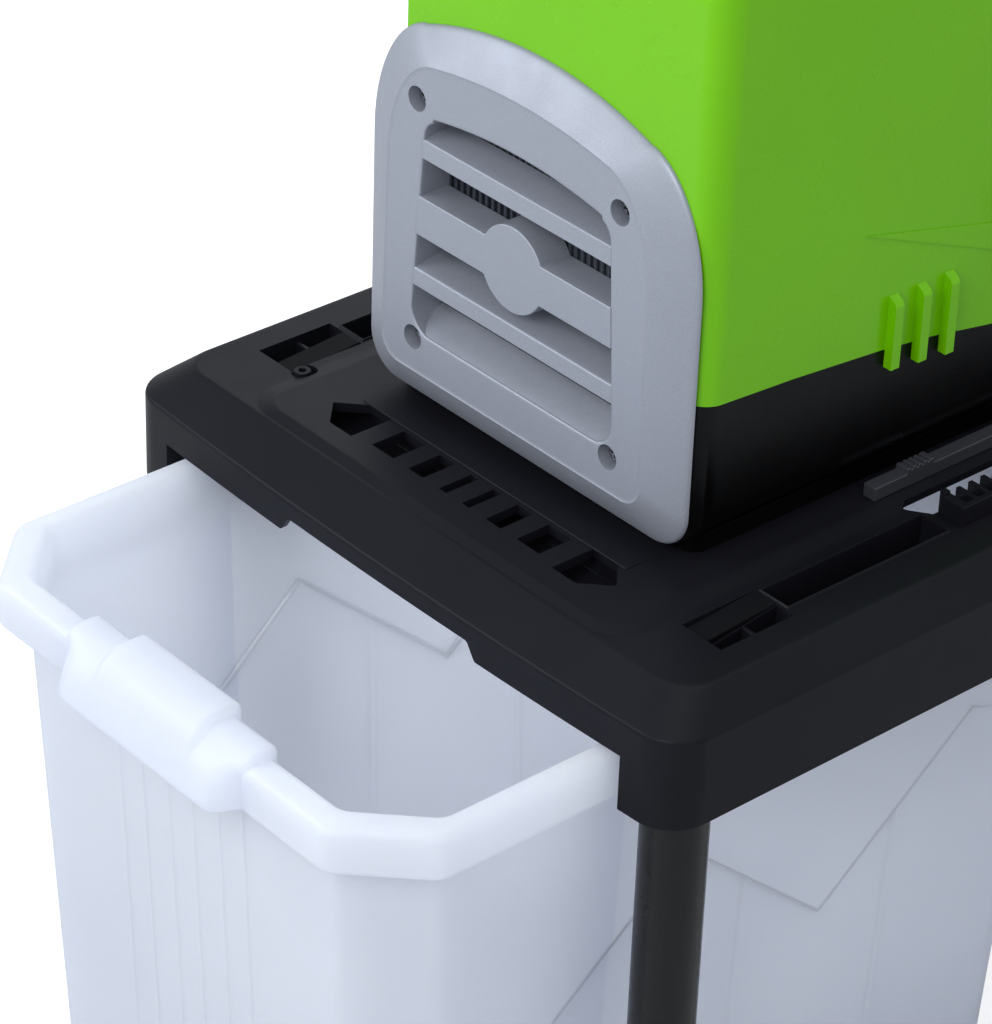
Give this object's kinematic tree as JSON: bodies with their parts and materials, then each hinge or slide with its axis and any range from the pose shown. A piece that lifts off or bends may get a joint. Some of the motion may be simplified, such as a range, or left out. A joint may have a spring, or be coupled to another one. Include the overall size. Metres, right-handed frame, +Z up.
{
  "type": "wood chipper",
  "caption": "Electric wood chipper: green and black motor housing with a silver louvred vent cover, feed hopper on top, and a milky bin sliding out from under a black wheeled frame.",
  "frame": {"origin": "floor level, at the centre of the bounding box seen from above, with the bin partly pulled out", "axes": "+X to the right seen from the front, -Y towards the front where the bin pulls out, +Z up"},
  "size_m": [0.54, 0.774, 0.929],
  "materials": {
    "black_plastic": "fine-grained moulded plastic",
    "green_plastic": "glossy moulded plastic",
    "silver_plastic": "silver painted moulding",
    "milky_plastic": "milky translucent polypropylene",
    "black_steel": "gloss black enamelled tube",
    "rubber": "matt rubber",
    "tyre": "solid rubber tyre",
    "steel": "bright machined steel",
    "cast_steel": "hardened cutter steel",
    "aluminium": "die-cast aluminium",
    "brass": "turned brass",
    "start_green": "gloss button",
    "stop_red": "gloss button"
  },
  "bodies": {
    "frame": {"deck": "black_plastic", "bin_rail_left": "black_steel", "bin_rail_right": "black_steel", "leg_front_left": "black_steel", "leg_front_right": "black_steel", "leg_rear_left": "black_steel", "leg_rear_right": "black_steel", "foot_left": "rubber", "foot_right": "rubber", "side_tube_left": "black_steel", "side_tube_right": "black_steel", "rear_tube": "black_steel", "axle": "steel", "lower_shell": "black_plastic", "upper_shell": "green_plastic", "vent_cover": "silver_plastic", "cover_screw_1": "steel", "cover_screw_2": "steel", "cover_screw_3": "steel", "cover_screw_4": "steel", "stator": "steel", "shield_front": "aluminium", "shield_rear": "aluminium", "gearbox_case": "aluminium", "gearbox_cover": "aluminium", "cutter_chamber": "aluminium", "chamber_cover": "aluminium", "adjust_nut": "brass", "hopper": "black_plastic", "hopper_rim": "green_plastic", "guard_flap_left": "rubber", "guard_flap_right": "rubber", "console": "black_plastic", "power_inlet": "black_plastic", "capacitor": "aluminium", "latch_left": "black_plastic", "latch_right": "black_plastic"},
    "bin": {"bin": "milky_plastic"},
    "wheel_left": {"hub_left": "black_plastic", "tyre_left": "tyre", "wheel_cap_left": "black_plastic"},
    "wheel_right": {"hub_right": "black_plastic", "tyre_right": "tyre", "wheel_cap_right": "black_plastic"},
    "drum": {"drum": "cast_steel", "drum_gear": "steel"},
    "mid_gear": {"mid_gear": "steel"},
    "rotor": {"rotor": "steel", "fan": "black_plastic"},
    "pressure_plate": {"pressure_plate": "steel"},
    "adjuster": {"adjust_screw": "steel", "adjust_knob": "black_plastic"},
    "start_button": {"start_button": "start_green"},
    "stop_button": {"stop_button": "stop_red"},
    "selector": {"selector": "black_plastic"},
    "reset_button": {"reset_button": "stop_red"},
    "interlock_slider": {"interlock_slider": "black_plastic"}
  },
  "joints": [
    {"name": "bin_slide", "type": "slide", "parent": "frame", "child": "bin", "axis": [0, -1, 0], "range_m": [-0.145, 0.19]},
    {"name": "wheel_left_spin", "type": "hinge", "parent": "frame", "child": "wheel_left", "pos_m": [-0.24, 0.302, 0.085], "axis": [1, 0, 0], "continuous": true},
    {"name": "wheel_right_spin", "type": "hinge", "parent": "frame", "child": "wheel_right", "pos_m": [0.24, 0.302, 0.085], "axis": [1, 0, 0], "continuous": true},
    {"name": "drum_spin", "type": "hinge", "parent": "frame", "child": "drum", "pos_m": [0, 0.12, 0.6], "axis": [0, 1, 0], "continuous": true},
    {"name": "mid_gear_spin", "type": "hinge", "parent": "frame", "child": "mid_gear", "pos_m": [-0.0525, 0.04, 0.6], "axis": [0, 1, 0], "continuous": true},
    {"name": "rotor_spin", "type": "hinge", "parent": "frame", "child": "rotor", "pos_m": [0, -0.05, 0.6], "axis": [0, 1, 0], "continuous": true},
    {"name": "plate_slide", "type": "slide", "parent": "frame", "child": "pressure_plate", "axis": [1, 0, 0], "range_m": [-0.0004, 0.004]},
    {"name": "knob_turn", "type": "hinge", "parent": "pressure_plate", "child": "adjuster", "pos_m": [0.1, 0.12, 0.6], "axis": [1, 0, 0], "range_deg": [-75, 725]},
    {"name": "start_press", "type": "slide", "parent": "frame", "child": "start_button", "axis": [0, 0.6428, -0.766], "range_m": [0, 0.003], "stiffness_N_per_m": 400},
    {"name": "stop_press", "type": "slide", "parent": "frame", "child": "stop_button", "axis": [0, 0.6428, -0.766], "range_m": [0, 0.003], "stiffness_N_per_m": 400},
    {"name": "selector_turn", "type": "hinge", "parent": "frame", "child": "selector", "pos_m": [0.03, -0.0975, 0.827], "axis": [0, -0.6428, 0.766], "range_deg": [-45, 45]},
    {"name": "reset_press", "type": "slide", "parent": "frame", "child": "reset_button", "axis": [1, 0, 0], "range_m": [0, 0.003], "stiffness_N_per_m": 400},
    {"name": "interlock_slide", "type": "slide", "parent": "frame", "child": "interlock_slider", "axis": [0, 1, 0], "range_m": [0, 0.02]}
  ],
  "couplings": [
    {"joint": "mid_gear_spin", "follows": "drum_spin", "ratio": -5},
    {"joint": "rotor_spin", "follows": "drum_spin", "ratio": 25},
    {"joint": "knob_turn", "follows": "plate_slide", "rad_per_m": 3141.6}
  ]
}
